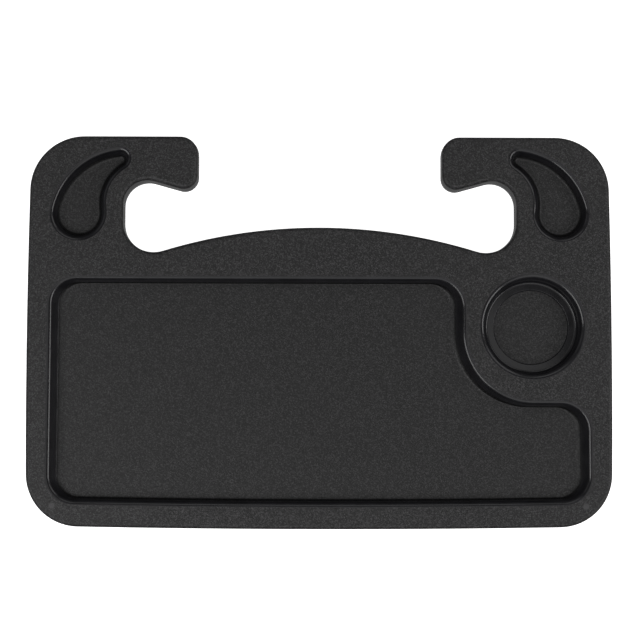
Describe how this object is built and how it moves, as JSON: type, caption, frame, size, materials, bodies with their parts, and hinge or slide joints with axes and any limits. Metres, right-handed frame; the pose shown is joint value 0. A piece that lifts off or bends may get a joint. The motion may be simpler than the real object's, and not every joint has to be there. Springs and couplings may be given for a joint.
{
  "type": "steering wheel tray",
  "caption": "Flat hollow tray with inward hooks that fit over a steering wheel's rim, a wide food recess, a round cup well, small teardrop pockets and a plain laptop side.",
  "frame": {"origin": "centre of the tray's box at its lowest face, the surface it lies on with its laptop side down", "axes": "+X along the tray to the cup side, +Y towards the hooks, +Z out of the food side"},
  "size_m": [0.42, 0.2824, 0.02],
  "materials": {
    "shell": "black, fine leather grain on the flats, smooth edges and recess walls",
    "bond": "cured adhesive, satin",
    "foam": "closed-cell foam, matte"
  },
  "bodies": {
    "root": {"front_shell": "shell", "back_shell": "shell", "rim_bond": "bond", "floor_pad_1": "foam", "floor_pad_2": "foam", "floor_pad_3": "foam", "floor_pad_4": "foam", "floor_pad_5": "foam", "floor_pad_6": "foam", "floor_pad_7": "foam", "cup_pad": "foam", "left_pocket_pad": "foam", "right_pocket_pad": "foam"}
  },
  "joints": []
}
